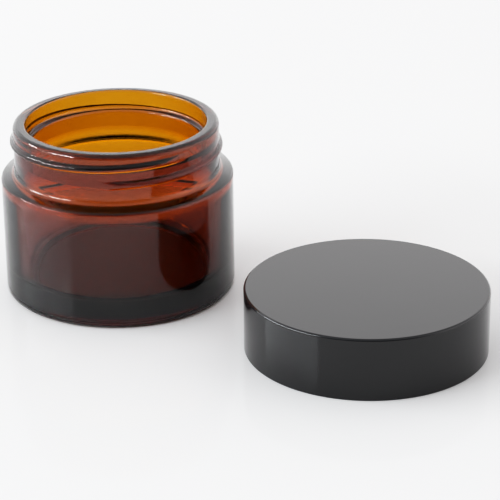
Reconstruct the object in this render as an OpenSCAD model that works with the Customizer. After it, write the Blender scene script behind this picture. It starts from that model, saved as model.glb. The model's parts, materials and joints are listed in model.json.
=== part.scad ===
// Cosmetic cream jar: a thick glass jar with a screw neck, and its lid lying top up beside it.
// The jar's axis is the Z axis and it stands on z = 0. The lid's axis is parallel, out along +X.

/* [Jar] */
// Outer diameter of the body
body_d = 57.6; // [56.5:0.1:60]
// Height of the jar, from the surface it stands on to the top of the lip
jar_h = 43.4; // [43:0.1:60]
// Height of the body's upper outer edge, where the shoulder starts
shoulder_h = 30.2; // [26:0.1:30.4]
// Slope of the shoulder up to the neck, in degrees
shoulder_slope = 20; // [5:1:25]
// Radius that rounds the shoulder's outer edge
shoulder_round = 1; // [0.4:0.1:1.2]
// Radius of the hollow between the shoulder and the neck
neck_fillet = 1.5; // [0.5:0.1:1.8]
// Radius that rounds the heel, where the wall meets the base
heel_round = 1.6; // [0.5:0.1:3]
// Depth of the glass under the well
base_t = 4.8; // [4:0.1:12]
// Inner diameter of the well at its widest, below the neck
well_d = 51; // [48:0.1:51.4]
// Slope of the well's wall, which narrows down to the floor, in degrees
well_taper = 5; // [1:0.5:9]
// Radius where the well's wall meets its floor
well_round = 3.5; // [1:0.5:8]
// Slope of the flare that widens the well below the throat, in degrees from upright
flare_slope = 22; // [15:1:26]
// Height of the flare
flare_h = 2.6; // [1.8:0.1:3]
// Radius of the convex curve below the flare
widen_round = 4; // [2:0.5:4.5]
// Slope of that curve where it turns into the concave one, in degrees from upright
widen_slope = 60; // [54:1:62]
// Diameter of the shallow push-up under the base
pushup_d = 45; // [30:0.5:48]
// Depth of the push-up
pushup_depth = 0.7; // [0.3:0.1:1.5]

/* [Neck] */
// Inner diameter of the mouth
bore_d = 44.6; // [43.5:0.1:45.5]
// Depth of the mouth, from the top of the lip down to the ledge
mouth_depth = 4; // [3:0.1:5]
// Inner diameter of the throat, which is the thick ring of glass below the ledge
throat_d = 42; // [41:0.1:43]
// Height of the throat's lower end above the body's upper outer edge
throat_rise = 4.2; // [3.8:0.1:4.5]
// Outer diameter of the neck between the threads
neck_d = 50.8; // [50:0.1:51.2]
// Outer diameter over the thread
thread_d = 52.5; // [52:0.1:52.6]
// Threads per inch of the neck finish
thread_per_inch = 6; // [6:1:6]
// Width of the thread's bead where it leaves the neck
thread_w = 2; // [1.6:0.1:2.6]
// Height of the bead's middle where the thread starts
thread_start_h = 35.75; // [35.5:0.05:36]
// Direction in which the thread starts, in degrees from +X
thread_start_angle = -65; // [-180:1:180]
// Length of the thread round the neck, in degrees
thread_sweep = 415; // [300:5:420]
// Radius that rounds the lip outside
lip_round = 1.3; // [0.6:0.1:1.4]
// Radius that rounds the lip inside
lip_round_in = 0.6; // [0.3:0.1:1]

/* [Lid] */
// Outer diameter of the lid
lid_d = 58; // [57.5:0.1:60]
// Height of the lid
lid_h = 15.3; // [15:0.1:16]
// Thickness of the outer shell's side wall
shell_side_t = 1.4; // [1.3:0.05:1.4]
// Thickness of the outer shell's top
shell_top_t = 1.2; // [1:0.1:1.4]
// Radius that rounds the shell's top edge
shell_top_round = 0.55; // [0.2:0.05:0.9]
// Radius that rounds the shell's lower edge
shell_foot_round = 0.3; // [0.1:0.05:0.4]
// Thickness of the threaded insert's top
insert_top_t = 1.2; // [0.8:0.1:1.4]
// Height of the insert's lower edge above the shell's
insert_lift = 0.8; // [0.7:0.1:1.2]
// Number of ribs that lock the insert in the shell
rib_count = 12; // [6:1:18]
// Thickness of the foam sealing liner
liner_t = 1.1; // [0.8:0.1:1.5]
// Distance between the axes of the jar and the lid beside it
lid_place = 71.4; // [62:0.1:120]

/* [Hidden] */

$fn = 96;
inch = 25.4;
// Overlap that makes two solids one, and reach of a cut past a face
bond = 0.4;
cut = 1;

body_r = body_d / 2;
neck_r = neck_d / 2;
bore_r = bore_d / 2;
throat_r = throat_d / 2;
well_r = well_d / 2;
pushup_r = pushup_d / 2;
pushup_slope = 0.8;

// Centre of the shoulder's rounding, and the point where it runs into the slope
round_r = body_r - shoulder_round;
round_h = shoulder_h - shoulder_round;
slope_start_r = round_r + shoulder_round * sin(shoulder_slope);
slope_start_h = round_h + shoulder_round * cos(shoulder_slope);
function shoulder_z(r) = slope_start_h + (slope_start_r - r) * tan(shoulder_slope);

// Centre of the hollow at the foot of the neck, and the point where it leaves the slope
fillet_r = neck_r + neck_fillet;
fillet_h = shoulder_z(fillet_r) + neck_fillet / cos(shoulder_slope);
fillet_foot_r = fillet_r - neck_fillet * sin(shoulder_slope);
fillet_foot_h = fillet_h - neck_fillet * cos(shoulder_slope);

// Ledge between the mouth and the throat, at 45 degrees
ledge_h = jar_h - mouth_depth;
ledge_foot_h = ledge_h - (bore_r - throat_r);

// Directions in the section, as radius and height, at an angle above the outward one
function polar(length, angle) = length * [cos(angle), sin(angle)];

// Throat's lower end, the flare's foot, and the centres of the two curves below the flare
throat_foot_h = shoulder_h + throat_rise;
flare_foot = [throat_r + flare_h * tan(flare_slope), throat_foot_h - flare_h];
widen_at = flare_foot + polar(widen_round, flare_slope);
steep_at = widen_at - polar(widen_round, widen_slope);
corner_round = (well_r - steep_at[0]) / (1 - cos(widen_slope));
corner_at = steep_at - polar(corner_round, widen_slope);

// Upper end of the tapering wall, centre of the rounding at its foot, and where it meets that
wall_top = corner_at + polar(corner_round, -well_taper);
foot_h = base_t + well_round;
offset_top = wall_top - polar(well_round, -well_taper);
foot_at = [offset_top[0] - (offset_top[1] - foot_h) * tan(well_taper), foot_h];
wall_foot = foot_at + polar(well_round, -well_taper);

// Thread: a half-round bead on a right-hand helix, fading into the wall at both ends
thread_pitch = inch / thread_per_inch;
thread_depth = (thread_d - neck_d) / 2;
thread_step = 6;
thread_fade = 20;
bead_steps = 6;
// How far the bead's base is sunk in the wall
bead_sunk = 0.3;

// Lid: radii of the shell's hollow and of the insert inside it
lid_r = lid_d / 2;
shell_bore_r = lid_r - shell_side_t;
shell_roof_h = lid_h - shell_top_t;
fit_gap = 0.1;
insert_r = shell_bore_r - fit_gap;
insert_bore_r = thread_d / 2 + 0.25;
insert_crest_r = neck_r + 0.25;
insert_roof_h = shell_roof_h - insert_top_t;
insert_thread_w = 1.8;
insert_thread_depth = insert_bore_r - insert_crest_r;
insert_thread_sweep = 400;
edge_chamfer = 0.25;

// Retaining ridge inside the shell's lower edge, and the ribs that lock the insert
ridge_h = 0.4;
ridge_top = insert_lift - fit_gap;
ridge_r = shell_bore_r - 0.3;
rib_w = 1.4;
rib_r = insert_r + 0.45;
rib_top = insert_roof_h - 1;

// Liner: a disc just under the insert's roof
liner_gap = 0.05;
liner_r = insert_bore_r - 0.3;
liner_under = insert_roof_h - liner_gap - liner_t;

// Height of the lid's lower edge when the liner sits on the lip, and the insert's thread
// half a pitch below the neck's in that pose, drawn in the lid's own height
lid_seat_h = jar_h - liner_under;
insert_thread_h = thread_start_h - thread_pitch / 2 - lid_seat_h + thread_pitch * 0.25;
insert_thread_angle = thread_start_angle + 90;

// Height factor of the thread's bead at an angle along it, in degrees: it sinks into the wall
// at both ends
function fade(a, sweep) = min(1, 0.1 + 0.9 * min(a, sweep - a) / thread_fade);

// One section of the bead: a half ellipse whose base is inside the wall.
// side is 1 for a thread outside a wall and -1 for a thread inside one.
function bead_section(wall_r, side, width, depth, k) = [
    for (i = [0 : bead_steps]) let (t = -90 + 180 * i / bead_steps)
        [wall_r + side * ((depth + bead_sunk) * k * cos(t) - bead_sunk), width / 2 * sin(t)]
];

// A bead swept along a helix: rings of points, then the skin between them and the two ends
module helix_bead(wall_r, side, width, depth, sweep) {
    count = round(sweep / thread_step);
    ring = bead_steps + 1;
    points = [for (j = [0 : count]) let (
        a = sweep * j / count,
        section = bead_section(wall_r, side, width, depth, fade(a, sweep)))
        for (p = section) [p[0] * cos(a), p[0] * sin(a), p[1] + thread_pitch * a / 360]];
    skin = [for (j = [0 : count - 1]) for (i = [0 : ring - 1]) let (
        a = j * ring + i,
        b = j * ring + (i + 1) % ring)
        each [[a, b, b + ring], [a, b + ring, a + ring]]];
    ends = [
        [for (i = [ring - 1 : -1 : 0]) i],
        [for (i = [0 : ring - 1]) count * ring + i]
    ];
    flip = side > 0;
    faces = concat(skin, ends);
    polyhedron(points, flip ? faces : [for (f = faces) [for (i = [len(f) - 1 : -1 : 0]) f[i]]]);
}

// Section of the jar's outside, from the axis outwards
module jar_outline() {
    // Body with its rounded heel and shoulder
    square([body_r - heel_round, round_h]);
    translate([0, heel_round]) square([body_r, round_h - heel_round]);
    translate([body_r - heel_round, heel_round]) circle(heel_round);
    translate([round_r, round_h]) circle(shoulder_round);
    // Slope up to the neck, and the hollow at the neck's foot
    polygon([
        [0, round_h - bond],
        [round_r, round_h - bond],
        [slope_start_r, slope_start_h],
        [neck_r, shoulder_z(neck_r)],
        [0, shoulder_z(neck_r)]
    ]);
    difference() {
        polygon([
            [neck_r - bond, shoulder_z(neck_r) - bond],
            [fillet_foot_r, shoulder_z(fillet_foot_r) - bond],
            [fillet_foot_r, fillet_foot_h],
            [fillet_r, fillet_h],
            [neck_r - bond, fillet_h]
        ]);
        translate([fillet_r, fillet_h]) circle(neck_fillet);
    }
    // Neck and the lip's outer rounding
    square([neck_r, jar_h - lip_round]);
    square([neck_r - lip_round, jar_h]);
    translate([neck_r - lip_round, jar_h - lip_round]) circle(lip_round);
}

// Section of the well: floor, tapering wall, throat, ledge and mouth with the lip's rounding
module well_outline() {
    polygon([
        [0, base_t],
        [foot_at[0], base_t],
        foot_at,
        wall_foot,
        wall_top,
        corner_at,
        [throat_r, corner_at[1]],
        [throat_r, ledge_foot_h],
        [bore_r, ledge_h],
        [bore_r, jar_h + cut],
        [0, jar_h + cut]
    ]);
    translate(foot_at) circle(well_round);
    translate(corner_at) circle(corner_round);
    // Flare below the throat, and the convex curve that runs into the concave one
    difference() {
        polygon([
            [throat_r - bond, corner_at[1]],
            corner_at,
            widen_at,
            flare_foot,
            [throat_r, throat_foot_h],
            [throat_r - bond, throat_foot_h]
        ]);
        translate(widen_at) circle(widen_round);
    }
    lip_h = jar_h - lip_round_in;
    difference() {
        translate([bore_r - bond, lip_h]) square([lip_round_in + bond, lip_round_in + cut]);
        translate([bore_r + lip_round_in, lip_h]) circle(lip_round_in);
    }
}

module glass_jar() {
    color("saddlebrown") union() {
        rotate_extrude() difference() {
            jar_outline();
            well_outline();
            // Push-up that leaves a bearing ring under the heel
            polygon([
                [0, -cut],
                [pushup_r + pushup_slope, -cut],
                [pushup_r + pushup_slope, 0],
                [pushup_r, pushup_depth],
                [0, pushup_depth]
            ]);
        }
        translate([0, 0, thread_start_h]) rotate([0, 0, thread_start_angle])
            helix_bead(neck_r, 1, thread_w, thread_depth, thread_sweep);
    }
}

// Section of the lid's smooth outer shell
module shell_outline() {
    difference() {
        union() {
            translate([0, shell_foot_round])
                square([lid_r, lid_h - shell_foot_round - shell_top_round]);
            square([lid_r - shell_foot_round, shell_foot_round + bond]);
            translate([lid_r - shell_foot_round, shell_foot_round]) circle(shell_foot_round);
            translate([0, lid_h - shell_top_round - bond])
                square([lid_r - shell_top_round, shell_top_round + bond]);
            translate([lid_r - shell_top_round, lid_h - shell_top_round]) circle(shell_top_round);
        }
        // Hollow, narrowed by the retaining ridge near its mouth
        polygon([
            [0, -cut],
            [shell_bore_r, -cut],
            [shell_bore_r, ridge_top - ridge_h],
            [ridge_r, ridge_top - ridge_h / 2],
            [shell_bore_r, ridge_top],
            [shell_bore_r, shell_roof_h],
            [0, shell_roof_h]
        ]);
    }
}

// Ribs on the insert, or with a margin the slots for them in the shell
module lock_ribs(margin, top) {
    for (i = [0 : rib_count - 1]) rotate([0, 0, 360 * i / rib_count])
        translate([insert_r - bond, -rib_w / 2 - margin, insert_lift - margin])
            cube([rib_r - insert_r + bond + margin, rib_w + 2 * margin, top - insert_lift + 2 * margin]);
}

module lid_outer_shell() {
    color("dimgray") translate([lid_place, 0, 0]) difference() {
        rotate_extrude() shell_outline();
        lock_ribs(fit_gap, rib_top);
    }
}

module lid_threaded_insert() {
    color("black") translate([lid_place, 0, 0]) union() {
        rotate_extrude() polygon([
            [0, insert_roof_h],
            [insert_bore_r, insert_roof_h],
            [insert_bore_r, insert_lift + edge_chamfer],
            [insert_bore_r + edge_chamfer, insert_lift],
            [insert_r - edge_chamfer, insert_lift],
            [insert_r, insert_lift + edge_chamfer],
            [insert_r, shell_roof_h - edge_chamfer],
            [insert_r - edge_chamfer, shell_roof_h],
            [0, shell_roof_h]
        ]);
        lock_ribs(0, rib_top);
        translate([0, 0, insert_thread_h]) rotate([0, 0, insert_thread_angle])
            helix_bead(insert_bore_r, -1, insert_thread_w, insert_thread_depth, insert_thread_sweep);
    }
}

module sealing_liner() {
    color("white") translate([lid_place, 0, liner_under]) cylinder(h = liner_t, r = liner_r);
}

glass_jar();
lid_outer_shell();
lid_threaded_insert();
sealing_liner();
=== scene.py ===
"""Looks of the cosmetic cream jar: amber glass, a glossy black lid and its lining, on a pale floor.

Lengths are in millimetres and angles in degrees, and MM turns a length into Blender's metres.
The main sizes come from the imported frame. The rest are the design's small radii and thicknesses.
"""
import json
import math

import bpy
import numpy as np
from mathutils import Matrix, Vector


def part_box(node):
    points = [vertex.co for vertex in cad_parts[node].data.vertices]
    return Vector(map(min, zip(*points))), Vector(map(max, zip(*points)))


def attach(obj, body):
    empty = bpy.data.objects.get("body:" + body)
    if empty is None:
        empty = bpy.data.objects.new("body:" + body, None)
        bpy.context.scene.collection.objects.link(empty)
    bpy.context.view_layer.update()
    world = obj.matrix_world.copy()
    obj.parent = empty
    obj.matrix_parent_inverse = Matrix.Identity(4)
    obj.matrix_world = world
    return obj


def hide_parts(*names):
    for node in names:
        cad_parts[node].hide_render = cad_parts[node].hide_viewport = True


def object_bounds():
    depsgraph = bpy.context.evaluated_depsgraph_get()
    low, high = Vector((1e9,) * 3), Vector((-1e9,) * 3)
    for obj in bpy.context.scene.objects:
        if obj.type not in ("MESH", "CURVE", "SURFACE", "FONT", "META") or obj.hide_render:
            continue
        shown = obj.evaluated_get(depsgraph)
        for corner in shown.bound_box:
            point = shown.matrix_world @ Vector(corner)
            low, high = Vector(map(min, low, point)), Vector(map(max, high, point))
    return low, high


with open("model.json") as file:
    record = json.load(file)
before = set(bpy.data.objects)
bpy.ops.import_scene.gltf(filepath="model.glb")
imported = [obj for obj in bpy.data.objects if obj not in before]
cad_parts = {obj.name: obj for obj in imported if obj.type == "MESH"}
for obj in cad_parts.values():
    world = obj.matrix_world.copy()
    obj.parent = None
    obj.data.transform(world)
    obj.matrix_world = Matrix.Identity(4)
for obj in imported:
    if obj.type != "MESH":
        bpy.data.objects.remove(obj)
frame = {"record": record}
cad_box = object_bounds()

MM = 0.001

# ---------------------------------------------------------------- sizes from the frame


def box_mm(node):
    """Lowest and highest corner of a CAD node, in millimetres."""
    low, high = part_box(node)
    return low / MM, high / MM


mounts = {m["name"]: m for m in frame["record"]["mounts"]}
jar_high = box_mm("glass_jar")[1]
shell_low, shell_high = box_mm("lid_outer_shell")
insert_low, insert_high = box_mm("lid_threaded_insert")
liner_low, liner_high = box_mm("sealing_liner")

JAR_R = jar_high.x
JAR_H = jar_high.z
BORE_R = mounts["mouth"]["dims"]["r_mm"]
THREAD_R = mounts["neck_thread"]["dims"]["r_mm"]
LID_X = (shell_low.x + shell_high.x) / 2
LID_R = (shell_high.x - shell_low.x) / 2
LID_H = shell_high.z
INSERT_BORE_R = mounts["lid_thread"]["dims"]["r_mm"]
INSERT_FOOT = insert_low.z
INSERT_TOP = insert_high.z
LINER_R = (liner_high.x - liner_low.x) / 2

# ---------------------------------------------------------------- sizes of the design

SHOULDER_H = 30.2
SHOULDER_SLOPE = 20
SHOULDER_ROUND = 1.0
NECK_R = 25.4
NECK_FILLET = 1.5
HEEL_ROUND = 1.6
LIP_ROUND = 1.3
LIP_ROUND_IN = 0.6
BASE_T = 4.8
# The mouth ends at a ledge, and the throat below it is a thick ring of glass
MOUTH_DEPTH = 4.0
LEDGE_ROUND = 0.9
THROAT_R = 21.0
THROAT_FOOT_H = 34.4
# Below the throat the well flares out, curves to its widest and tapers down to its floor
CREASE_ROUND = 0.4
FLARE_SLOPE = 22
FLARE_H = 2.6
WIDEN_SLOPE = 60
WIDEN_ROUND = 4.0
WELL_R = 25.5
WELL_TAPER = 5
WELL_ROUND = 3.5
PUSHUP_R = 22.5
PUSHUP_DEPTH = 0.7
PUSHUP_SLOPE = 0.8
# How wide and high the push-up's two edges are softened
PUSHUP_SOFT_IN = (0.3, 0.1)
PUSHUP_SOFT_OUT = (0.2, 0.06)

INCH = 25.4
THREADS_PER_INCH = 6
PITCH = INCH / THREADS_PER_INCH
THREAD_START_H = 35.75
THREAD_START = -65
THREAD_SWEEP = 415
THREAD_W = 2.0
INSERT_THREAD_H = 2.94
INSERT_THREAD_START = 25
INSERT_THREAD_SWEEP = 400
INSERT_THREAD_W = 1.8
INSERT_CREST_R = 25.65
THREAD_FADE = 22
# How far a thread's section is sunk in its wall, and how softly it runs into it
BEAD_SUNK = 0.3
BEAD_BLEND = 0.3

SHELL_SIDE = 1.4
SHELL_TOP = 1.2
SHELL_TOP_ROUND = 0.55
SHELL_FOOT_ROUND = 0.3
FIT_GAP = 0.1
RIDGE_H = 0.4
RIDGE_DEPTH = 0.3
INSERT_ROOF = 1.2
CHAMFER = 0.25
RIB_COUNT = 12
RIB_W = 1.4
RIB_DEPTH = 0.45
RIB_TOP = 11.9

SHELL_BORE_R = LID_R - SHELL_SIDE
INSERT_R = SHELL_BORE_R - FIT_GAP

# ---------------------------------------------------------------- mesh tools

# Distance of a support ring from the end of a straight run, which keeps flat faces flat
SUPPORT = 0.05
# Points round the axis
JAR_STEPS = 300
LID_STEPS = 360
LINER_STEPS = 180
# Spacing of the rings that a thread is raised from, and of those that keep the lid's top even
THREAD_RINGS = 0.12
TOP_RINGS = 2
# Height between the two rings at the end of a rib or a slot
STEP_RINGS = 0.02
# Radii that differ by less than this belong to the same wall
SAME_WALL = 1e-6


def arc(centre, radius, start, end, steps=9):
    """Points of an arc in the (radius, height) plane, from one angle to another."""
    angles = [math.radians(start + (end - start) * i / steps) for i in range(steps + 1)]
    return [(centre[0] + radius * math.cos(a), centre[1] + radius * math.sin(a)) for a in angles]


def run(start, end, spacing):
    """Evenly spaced points strictly between two points."""
    count = max(1, round(math.dist(start, end) / spacing))
    return [
        tuple(s + (e - s) * i / count for s, e in zip(start, end))
        for i in range(1, count)
    ]


def supported(points):
    """The same outline with a point close to each end of every long straight run."""
    made = [points[0]]
    for start, end in zip(points, points[1:]):
        length = math.dist(start, end)
        if length > 4 * SUPPORT:
            share = SUPPORT / length
            for t in (share, 1 - share):
                made.append(tuple(s + (e - s) * t for s, e in zip(start, end)))
        made.append(end)
    return made


def make_object(name, points, faces):
    """A smooth-shaded mesh object from points in millimetres."""
    mesh = bpy.data.meshes.new(name)
    mesh.from_pydata((np.asarray(points) * MM).tolist(), [], faces)
    mesh.polygons.foreach_set("use_smooth", [True] * len(mesh.polygons))
    mesh.validate()
    piece = bpy.data.objects.new(name, mesh)
    bpy.context.scene.collection.objects.link(piece)
    return piece


def revolve(name, outline, steps, axis_x=0.0, reshape=None):
    """A closed solid from an outline that starts and ends on an upright axis.

    reshape takes the rings' radii, heights and angles, and returns new radii and heights."""
    outline = supported(outline)
    rings = np.array(outline[1:-1])
    angles = np.arange(steps) * 360 / steps
    radii = np.repeat(rings[:, :1], steps, axis=1)
    heights = np.repeat(rings[:, 1:], steps, axis=1)
    if reshape:
        radii, heights = reshape(radii, heights, angles[None, :])
    turned = np.radians(angles)[None, :]
    x = axis_x + radii * np.cos(turned)
    y = radii * np.sin(turned)
    points = np.stack([x, y, heights], axis=2).reshape(-1, 3).tolist()
    count = len(rings)
    first = len(points)
    points += [(axis_x, 0.0, outline[0][1]), (axis_x, 0.0, outline[-1][1])]
    faces = []
    for j in range(steps):
        k = (j + 1) % steps
        faces.append((first, k, j))
        for i in range(count - 1):
            a, b = i * steps, (i + 1) * steps
            faces.append((a + j, a + k, b + k, b + j))
        last = (count - 1) * steps
        faces.append((last + j, last + k, first + 1))
    return make_object(name, points, faces)


def bead(angles, heights, start_h, start, sweep, width, depth):
    """How far a helical bead stands out of its wall at each angle and height."""
    out = np.zeros(np.broadcast(angles, heights).shape)
    for turn in range(math.ceil(sweep / 360) + 1):
        along = (angles - start) % 360 + 360 * turn
        inside = along <= sweep
        fade = np.clip(np.minimum(along, sweep - along) / THREAD_FADE, 0, 1)
        fade = fade * fade * (3 - 2 * fade)
        across = np.abs(heights - start_h - PITCH * along / 360) / (width / 2)
        dome = (depth + BEAD_SUNK) * np.sqrt(np.clip(1 - across**2, 0, 1)) - BEAD_SUNK
        dome -= np.clip(across - 1, 0, None) * width / 2
        share = np.clip(0.5 + 0.5 * dome / BEAD_BLEND, 0, 1)
        soft = dome * share + BEAD_BLEND * share * (1 - share)
        out = np.maximum(out, np.where(inside, soft * fade, 0))
    return out


def ribs(angles, width, radius):
    """1 on the lid's locking ribs and 0 between them, with steep flanks."""
    step = 360 / RIB_COUNT
    off = np.abs((angles + step / 2) % step - step / 2)
    half = math.degrees(width / 2 / radius)
    return np.clip((half - off) / 0.5 + 0.5, 0, 1)


# ---------------------------------------------------------------- the pieces


def shoulder_points():
    """From the shoulder's rounding up its slope to the end of the neck's fillet."""
    slope = math.radians(SHOULDER_SLOPE)
    round_at = (JAR_R - SHOULDER_ROUND, SHOULDER_H - SHOULDER_ROUND)
    start = (
        round_at[0] + SHOULDER_ROUND * math.sin(slope),
        round_at[1] + SHOULDER_ROUND * math.cos(slope),
    )
    fillet_r = NECK_R + NECK_FILLET
    slope_h = start[1] + (start[0] - fillet_r) * math.tan(slope)
    fillet_at = (fillet_r, slope_h + NECK_FILLET / math.cos(slope))
    return (
        arc(round_at, SHOULDER_ROUND, 0, 90 - SHOULDER_SLOPE)
        + arc(fillet_at, NECK_FILLET, 270 - SHOULDER_SLOPE, 180)
    )


def polar(length, angle):
    """The (radius, height) step of a length in a direction."""
    turned = math.radians(angle)
    return np.array((length * math.cos(turned), length * math.sin(turned)))


def well_points():
    """From the lip's inner edge down the ledge, throat, flare and taper to the well's floor."""
    lip_at = (BORE_R + LIP_ROUND_IN, JAR_H - LIP_ROUND_IN)
    ledge_turn = math.degrees(math.acos(1 - (BORE_R - THROAT_R) / (2 * LEDGE_ROUND)))
    ledge_at = np.array((BORE_R - LEDGE_ROUND, JAR_H - MOUTH_DEPTH))
    throat_at = ledge_at + polar(2 * LEDGE_ROUND, -ledge_turn)
    flare_foot = np.array((
        THROAT_R + FLARE_H * math.tan(math.radians(FLARE_SLOPE)), THROAT_FOOT_H - FLARE_H
    ))
    widen_at = flare_foot + polar(WIDEN_ROUND, FLARE_SLOPE)
    steep = widen_at - polar(WIDEN_ROUND, WIDEN_SLOPE)
    corner_round = (WELL_R - steep[0]) / (1 - math.cos(math.radians(WIDEN_SLOPE)))
    corner_at = steep - polar(corner_round, WIDEN_SLOPE)
    widest = corner_at + polar(corner_round, -WELL_TAPER)
    foot_h = BASE_T + WELL_ROUND
    offset = widest - polar(WELL_ROUND, -WELL_TAPER)
    drop = (offset[1] - foot_h) / math.cos(math.radians(WELL_TAPER))
    foot_at = offset - polar(drop, 90 - WELL_TAPER)
    return (
        arc(lip_at, LIP_ROUND_IN, 90, 180)
        + arc(ledge_at, LEDGE_ROUND, 0, -ledge_turn, 6)
        + arc(throat_at, LEDGE_ROUND, 180 - ledge_turn, 180, 6)[1:]
        + arc((THROAT_R + CREASE_ROUND, THROAT_FOOT_H), CREASE_ROUND, 180, 180 + FLARE_SLOPE, 5)
        + arc(widen_at, WIDEN_ROUND, 180 + FLARE_SLOPE, 180 + WIDEN_SLOPE, 10)
        + arc(corner_at, corner_round, WIDEN_SLOPE, -WELL_TAPER, 20)[1:]
        + arc(foot_at, WELL_ROUND, -WELL_TAPER, -90, 12)
        + [(0, BASE_T)]
    )


def jar_outline():
    """From under the base, round the outside and the lip, down to the well's floor."""
    ring_in = PUSHUP_R + PUSHUP_SLOPE
    ring_out = JAR_R - HEEL_ROUND
    shoulder = shoulder_points()
    lip_h = JAR_H - LIP_ROUND
    return (
        [(0, PUSHUP_DEPTH), (PUSHUP_R - PUSHUP_SOFT_IN[0], PUSHUP_DEPTH)]
        + [(PUSHUP_R, PUSHUP_DEPTH - PUSHUP_SOFT_IN[1])]
        + [(ring_in - PUSHUP_SOFT_OUT[0], PUSHUP_SOFT_OUT[1]), (ring_in, 0)]
        + arc((ring_out, HEEL_ROUND), HEEL_ROUND, -90, 0)
        + shoulder
        + run(shoulder[-1], (NECK_R, lip_h), THREAD_RINGS)
        + arc((NECK_R - LIP_ROUND, lip_h), LIP_ROUND, 0, 90)
        + well_points()
    )


def shape_jar(radii, heights, angles):
    """Raises the thread on the neck."""
    on_neck = (np.abs(radii - NECK_R) < SAME_WALL) & (heights > SHOULDER_H)
    thread = bead(
        angles, heights, THREAD_START_H, THREAD_START, THREAD_SWEEP, THREAD_W, THREAD_R - NECK_R
    )
    return radii + np.where(on_neck, thread, 0), heights


def glass_jar():
    return revolve("amber_glass_jar", jar_outline(), JAR_STEPS, reshape=shape_jar)


def shell_outline():
    """From under the shell's top, down its bore, round its foot and up its outside."""
    ridge_top = INSERT_FOOT - FIT_GAP
    ridge = [
        (SHELL_BORE_R, ridge_top),
        (SHELL_BORE_R - RIDGE_DEPTH, ridge_top - RIDGE_H / 2),
        (SHELL_BORE_R, ridge_top - RIDGE_H),
    ]
    slot_top = RIB_TOP + FIT_GAP
    roof = LID_H - SHELL_TOP
    return (
        [(0, roof), (SHELL_BORE_R, roof)]
        + [(SHELL_BORE_R, slot_top + STEP_RINGS), (SHELL_BORE_R, slot_top)]
        + [(SHELL_BORE_R, ridge_top + STEP_RINGS)]
        + ridge
        + [(SHELL_BORE_R, 0.1), (SHELL_BORE_R + 0.1, 0)]
        + arc((LID_R - SHELL_FOOT_ROUND, SHELL_FOOT_ROUND), SHELL_FOOT_ROUND, -90, 0, 6)
        + arc((LID_R - SHELL_TOP_ROUND, LID_H - SHELL_TOP_ROUND), SHELL_TOP_ROUND, 0, 90)
        + run((LID_R - SHELL_TOP_ROUND, LID_H), (0, LID_H), TOP_RINGS)
        + [(0, LID_H)]
    )


def shape_shell(radii, heights, angles):
    """Cuts the slots that the insert's ribs sit in."""
    slots = ribs(angles, RIB_W + 2 * FIT_GAP, SHELL_BORE_R)
    low, high = (h + STEP_RINGS / 2 for h in (INSERT_FOOT - FIT_GAP, RIB_TOP + FIT_GAP))
    here = (np.abs(radii - SHELL_BORE_R) < SAME_WALL) & (heights > low) & (heights < high)
    return radii + np.where(here, slots * RIB_DEPTH, 0), heights


def lid_shell():
    return revolve("lid_shell", shell_outline(), LID_STEPS, LID_X, shape_shell)


def insert_outline():
    """From under the insert's roof, down its threaded bore, round its foot and up."""
    roof = INSERT_TOP - INSERT_ROOF
    low = INSERT_FOOT + CHAMFER
    return (
        [(0, roof), (INSERT_BORE_R, roof)]
        + run((INSERT_BORE_R, roof), (INSERT_BORE_R, low), THREAD_RINGS)
        + [(INSERT_BORE_R, low), (INSERT_BORE_R + CHAMFER, INSERT_FOOT)]
        + [(INSERT_R - CHAMFER, INSERT_FOOT), (INSERT_R, low)]
        + [(INSERT_R, RIB_TOP), (INSERT_R, RIB_TOP + STEP_RINGS)]
        + [(INSERT_R, INSERT_TOP - CHAMFER), (INSERT_R - CHAMFER, INSERT_TOP), (0, INSERT_TOP)]
    )


def shape_insert(radii, heights, angles):
    """Raises the thread inside the bore and the locking ribs outside."""
    in_bore = np.abs(radii - INSERT_BORE_R) < SAME_WALL
    thread = bead(
        angles, heights, INSERT_THREAD_H, INSERT_THREAD_START, INSERT_THREAD_SWEEP,
        INSERT_THREAD_W, INSERT_BORE_R - INSERT_CREST_R,
    )
    outside = (np.abs(radii - INSERT_R) < SAME_WALL) & (heights < RIB_TOP + STEP_RINGS / 2)
    raised = ribs(angles, RIB_W, INSERT_R) * RIB_DEPTH
    return radii - np.where(in_bore, thread, 0) + np.where(outside, raised, 0), heights


def lid_insert():
    return revolve("lid_insert", insert_outline(), LID_STEPS, LID_X, shape_insert)


def liner():
    """The foam disc, with the shallow ring that the jar's lip has pressed into it."""
    low, high = liner_low.z, liner_high.z
    soft = 0.15
    press, press_start, press_end = 0.06, 0.2, 0.7
    outline = (
        [(0, low), (BORE_R + press_start, low), (BORE_R + press_end, low + press)]
        + [(NECK_R - press_end, low + press), (NECK_R - press_start, low)]
        + arc((LINER_R - soft, low + soft), soft, -90, 0, 5)
        + arc((LINER_R - soft, high - soft), soft, 0, 90, 5)
        + [(0, high)]
    )
    return revolve("foam_liner", outline, LINER_STEPS, LID_X)


# ---------------------------------------------------------------- materials


def add(tree, kind, sockets=None, **settings):
    """A node with its settings made. A socket's value is a number, a colour or another socket."""
    made = tree.nodes.new(kind)
    for name, value in settings.items():
        setattr(made, name, value)
    for name, value in (sockets or {}).items():
        if isinstance(value, bpy.types.NodeSocket):
            tree.links.new(value, made.inputs[name])
        else:
            made.inputs[name].default_value = value
    return made


def new_material(name):
    """An empty node material, its output node and its object coordinates."""
    material = bpy.data.materials.new(name)
    material.use_nodes = True
    tree = material.node_tree
    tree.nodes.clear()
    output = add(tree, "ShaderNodeOutputMaterial")
    place = add(tree, "ShaderNodeTexCoord").outputs["Object"]
    return material, tree, output, place


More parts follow.
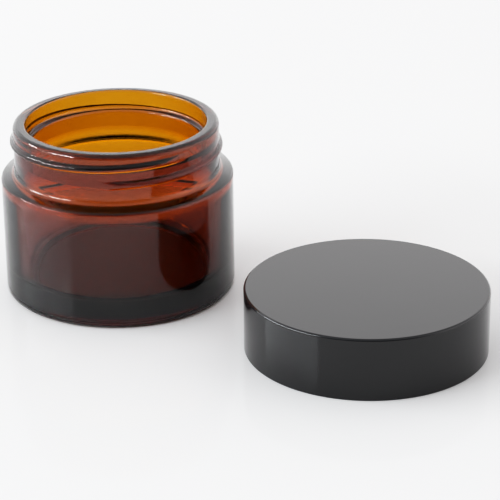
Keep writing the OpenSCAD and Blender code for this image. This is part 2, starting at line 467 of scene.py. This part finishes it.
def noise(tree, place, size_mm, detail=3.0, roughness=0.5):
    """Noise whose patches are about size_mm across."""
    scale = 1 / (size_mm * MM)
    sockets = {"Vector": place, "Scale": scale, "Detail": detail, "Roughness": roughness}
    return add(tree, "ShaderNodeTexNoise", sockets).outputs["Fac"]


def spread(tree, value, low, high, start=0.3, end=0.7):
    """A value's range from start to end mapped onto low to high."""
    sockets = {"Value": value, "From Min": start, "From Max": end, "To Min": low, "To Max": high}
    return add(tree, "ShaderNodeMapRange", sockets).outputs["Result"]


def mix_colour(tree, factor, first, second):
    """Two colours mixed by a factor."""
    mixer = add(tree, "ShaderNodeMix", data_type="RGBA")
    sockets = [s for s in mixer.inputs if s.type == "RGBA"]
    for socket, value in zip(sockets, (first, second)):
        if isinstance(value, bpy.types.NodeSocket):
            tree.links.new(value, socket)
        else:
            socket.default_value = value
    tree.links.new(factor, mixer.inputs["Factor"])
    return next(s for s in mixer.outputs if s.type == "RGBA")


def bump(tree, height, depth_mm):
    """A normal bent by a height field depth_mm deep."""
    sockets = {"Height": height, "Distance": depth_mm * MM, "Strength": 1.0}
    return add(tree, "ShaderNodeBump", sockets).outputs["Normal"]


def amber_glass():
    """Amber container glass: its colour is absorption per millimetre, not a painted surface."""
    material, tree, output, place = new_material("amber_glass")
    waves = noise(tree, place, 14, 1.0)
    smudges = noise(tree, place, 9, 5.0, 0.6)
    tint = mix_colour(tree, noise(tree, place, 20, 2.0), (1, 1, 1, 1), (1.0, 0.97, 0.93, 1))
    shader = add(tree, "ShaderNodeBsdfPrincipled", {
        "Base Color": tint,
        "Roughness": spread(tree, smudges, 0.0, 0.03, 0.5, 0.8),
        "IOR": 1.52,
        "Transmission Weight": 1.0,
        "Normal": bump(tree, waves, 0.05),
    })
    # Absorption per metre in red, green and blue
    absorb = (220, 475, 1600)
    densest = max(absorb)
    colour = [1 - a / densest for a in absorb] + [1]
    depth = add(tree, "ShaderNodeVolumeAbsorption", {"Color": colour, "Density": densest})
    tree.links.new(shader.outputs["BSDF"], output.inputs["Surface"])
    tree.links.new(depth.outputs["Volume"], output.inputs["Volume"])
    return material


def shell_black():
    """Glossy black moulded plastic with faint handling marks, and a painted bluish highlight with a
    little wear on its top edge's rounding.
    """
    material, tree, output, place = new_material("shell_black")
    patches = noise(tree, place, 12, 4.0)
    grain = noise(tree, place, 0.35, 2.0)
    colour = mix_colour(tree, patches, (0.006, 0.006, 0.0065, 1), (0.010, 0.010, 0.011, 1))
    # The top edge's rounding is where the surface leans between upright and level; it gets a
    # painted bluish highlight with a little wear
    normal = add(tree, "ShaderNodeNewGeometry").outputs["Normal"]
    lean = add(tree, "ShaderNodeSeparateXYZ", {0: normal}).outputs["Z"]
    rising = spread(tree, lean, 0.0, 0.35, 0.2, 0.6)
    level = spread(tree, lean, 1.0, 0.0, 0.8, 0.98)
    edge_highlight_and_wear = add(tree, "ShaderNodeMath", {0: rising, 1: level}, operation="MULTIPLY").outputs["Value"]
    # Painted highlight: a lighter, bluish colour on the top edge's rounding, standing in for the
    # reflection of the light at the left, with a little wear
    colour = mix_colour(tree, edge_highlight_and_wear, colour, (0.03, 0.032, 0.036, 1))
    shader = add(tree, "ShaderNodeBsdfPrincipled", {
        "Base Color": colour,
        "Roughness": spread(tree, patches, 0.05, 0.11),
        "IOR": 1.5,
        "Normal": bump(tree, grain, 0.0015),
    })
    tree.links.new(shader.outputs["BSDF"], output.inputs["Surface"])
    return material


def insert_black():
    """Matte black polypropylene with a fine moulded texture."""
    material, tree, output, place = new_material("insert_black")
    patches = noise(tree, place, 8, 4.0)
    grain = noise(tree, place, 0.25, 3.0)
    colour = mix_colour(tree, patches, (0.012, 0.012, 0.013, 1), (0.022, 0.022, 0.023, 1))
    shader = add(tree, "ShaderNodeBsdfPrincipled", {
        "Base Color": colour,
        "Roughness": spread(tree, grain, 0.38, 0.55),
        "IOR": 1.49,
        "Normal": bump(tree, grain, 0.012),
    })
    tree.links.new(shader.outputs["BSDF"], output.inputs["Surface"])
    return material


def liner_foam():
    """Off-white expanded foam with fine closed cells."""
    material, tree, output, place = new_material("liner_foam")
    cells = add(tree, "ShaderNodeTexVoronoi", {"Vector": place, "Scale": 1 / (0.45 * MM)})
    patches = noise(tree, place, 6, 3.0)
    colour = mix_colour(tree, patches, (0.78, 0.77, 0.73, 1), (0.86, 0.855, 0.83, 1))
    shader = add(tree, "ShaderNodeBsdfPrincipled", {
        "Base Color": colour,
        "Roughness": spread(tree, patches, 0.6, 0.8),
        "Normal": bump(tree, cells.outputs["Distance"], 0.06),
    })
    tree.links.new(shader.outputs["BSDF"], output.inputs["Surface"])
    return material


def floor_white():
    """A pale, almost matt sheet with only a trace of gloss."""
    material, tree, output, place = new_material("floor_white")
    patches = noise(tree, place, 220, 2.0)
    colour = mix_colour(tree, patches, (0.89, 0.885, 0.88, 1), (0.91, 0.91, 0.905, 1))
    shader = add(tree, "ShaderNodeBsdfPrincipled", {
        "Base Color": colour,
        "Roughness": 0.03,
        "IOR": 1.13,
    })
    tree.links.new(shader.outputs["BSDF"], output.inputs["Surface"])
    return material


# ---------------------------------------------------------------- the stage

# The camera's direction round the object, and its height above the horizon
CAMERA_AZIMUTH = 32.74
CAMERA_ELEVATION = 23.30
CAMERA_DISTANCE = 553.6
CAMERA_LENS = 151.88
CAMERA_ROLL = 0.513
# The point it looks at, from the middle of the object's box, on the floor
CAMERA_AIM = (-18.57, 33.70)


def direction(azimuth, elevation):
    """Unit vector from the object out towards an azimuth and elevation."""
    a, e = math.radians(azimuth), math.radians(elevation)
    return Vector((math.sin(a) * math.cos(e), -math.cos(a) * math.cos(e), math.sin(e)))


def make_camera():
    middle = (cad_box[0] + cad_box[1]) / 2 / MM
    aim = Vector((middle.x + CAMERA_AIM[0], middle.y + CAMERA_AIM[1], 0))
    out = direction(CAMERA_AZIMUTH, CAMERA_ELEVATION)
    data = bpy.data.cameras.new("camera")
    data.lens = CAMERA_LENS
    data.sensor_width = 36
    data.clip_start, data.clip_end = 0.01, 20
    camera = bpy.data.objects.new("camera", data)
    turn = (-out).to_track_quat("-Z", "Y").to_matrix().to_4x4()
    roll = Matrix.Rotation(math.radians(-CAMERA_ROLL), 4, "Z")
    camera.matrix_world = Matrix.Translation((aim + out * CAMERA_DISTANCE) * MM) @ turn @ roll
    bpy.context.scene.collection.objects.link(camera)
    bpy.context.scene.camera = camera


def make_floor():
    half = 4000
    corners = [(-half, -half, 0), (half, -half, 0), (half, half, 0), (-half, half, 0)]
    floor = make_object("floor", corners, [(0, 1, 2, 3)])
    floor.data.materials.append(floor_white())


# The long low softbox at the camera's left: azimuths from the camera's, elevations, radius
STRIP_AZIMUTHS = (-110, -45.5)
STRIP_ELEVATIONS = (20.5, 26.5)
STRIP_RADIUS = 1500
STRIP_STRENGTH = 24
STRIP_COLOUR = (0.93, 0.97, 1.0, 1)


def make_strip():
    """A curved band of light that faces the object."""
    steps = 24
    points, faces = [], []
    for i in range(steps + 1):
        span = STRIP_AZIMUTHS[1] - STRIP_AZIMUTHS[0]
        azimuth = CAMERA_AZIMUTH + STRIP_AZIMUTHS[0] + span * i / steps
        for elevation in STRIP_ELEVATIONS:
            flat = direction(azimuth, 0) * STRIP_RADIUS
            points.append((flat.x, flat.y, STRIP_RADIUS * math.tan(math.radians(elevation))))
    for i in range(steps):
        a = 2 * i
        faces.append((a, a + 1, a + 3, a + 2))
    strip = make_object("softbox_strip", points, faces)
    material, tree, output, _ = new_material("softbox_light")
    light = {"Color": STRIP_COLOUR, "Strength": STRIP_STRENGTH}
    glow = add(tree, "ShaderNodeEmission", light)
    tree.links.new(glow.outputs["Emission"], output.inputs["Surface"])
    strip.data.materials.append(material)


# Brightness and tint of the light tent
WALL_LEFT = (1.85, 1.86, 1.88, 1)
WALL_RIGHT = (1.62, 1.58, 1.58, 1)
TENT_TOP = (0.36, 0.365, 0.38, 1)
TENT_FRONT = (0.12, 0.12, 0.125, 1)


def make_world():
    """A light tent: bright low walls behind and at the sides, dim overhead, dark in front."""
    world = bpy.data.worlds.new("light_tent")
    bpy.context.scene.world = world
    world.use_nodes = True
    tree = world.node_tree
    tree.nodes.clear()
    ray = add(tree, "ShaderNodeTexCoord").outputs["Generated"]

    def towards(azimuth):
        sockets = {0: ray, 1: direction(CAMERA_AZIMUTH + azimuth, 0)}
        return add(tree, "ShaderNodeVectorMath", sockets, operation="DOT_PRODUCT").outputs["Value"]

    height = add(tree, "ShaderNodeSeparateXYZ", {0: ray}).outputs["Z"]
    low = spread(tree, height, 1.0, 0.0, 0.35, 1.07)
    back = spread(tree, towards(180), 0.0, 1.0, -0.8, -0.3)
    wall = add(tree, "ShaderNodeMath", {0: low, 1: back}, operation="MULTIPLY").outputs["Value"]
    sides = mix_colour(tree, spread(tree, towards(-90), 0.0, 1.0, -1, 1), WALL_RIGHT, WALL_LEFT)
    rest = mix_colour(tree, spread(tree, height, 0.0, 1.0, 0.3, 0.9), TENT_FRONT, TENT_TOP)
    colour = mix_colour(tree, wall, rest, sides)
    glow = add(tree, "ShaderNodeBackground", {"Color": colour, "Strength": 1.0})
    output = add(tree, "ShaderNodeOutputWorld")
    tree.links.new(glow.outputs["Background"], output.inputs["Surface"])


# The camera's tone curve: light in the scene against light in the picture
TONE_WHITE = 1.4
TONE_CURVE = (
    (0.036, 0.025), (0.07, 0.056), (0.18, 0.18), (0.4, 0.47), (0.7, 0.75), (1.0, 0.91),
)


def make_tones():
    """A plain display with a camera's gentle contrast: deeper shadows and a soft shoulder."""
    view = bpy.context.scene.view_settings
    view.view_transform = "Standard"
    view.use_curve_mapping = True
    mapping = view.curve_mapping
    mapping.white_level = (TONE_WHITE, TONE_WHITE, TONE_WHITE)
    combined = mapping.curves[3]
    for light, shown in TONE_CURVE:
        combined.points.new(light / TONE_WHITE, shown)
    mapping.update()


def make_stage():
    make_camera()
    make_floor()
    make_strip()
    make_world()
    make_tones()


# ---------------------------------------------------------------- assembly

make_stage()
for build, body, node, slot, finish in (
    (glass_jar, "jar", "glass_jar", "amber_glass", amber_glass),
    (lid_shell, "lid", "lid_outer_shell", "shell_black", shell_black),
    (lid_insert, "lid", "lid_threaded_insert", "insert_black", insert_black),
    (liner, "liner", "sealing_liner", "liner_foam", liner_foam),
):
    piece = build()
    piece.data.materials.append(finish())
    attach(piece, body)
    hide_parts(node)
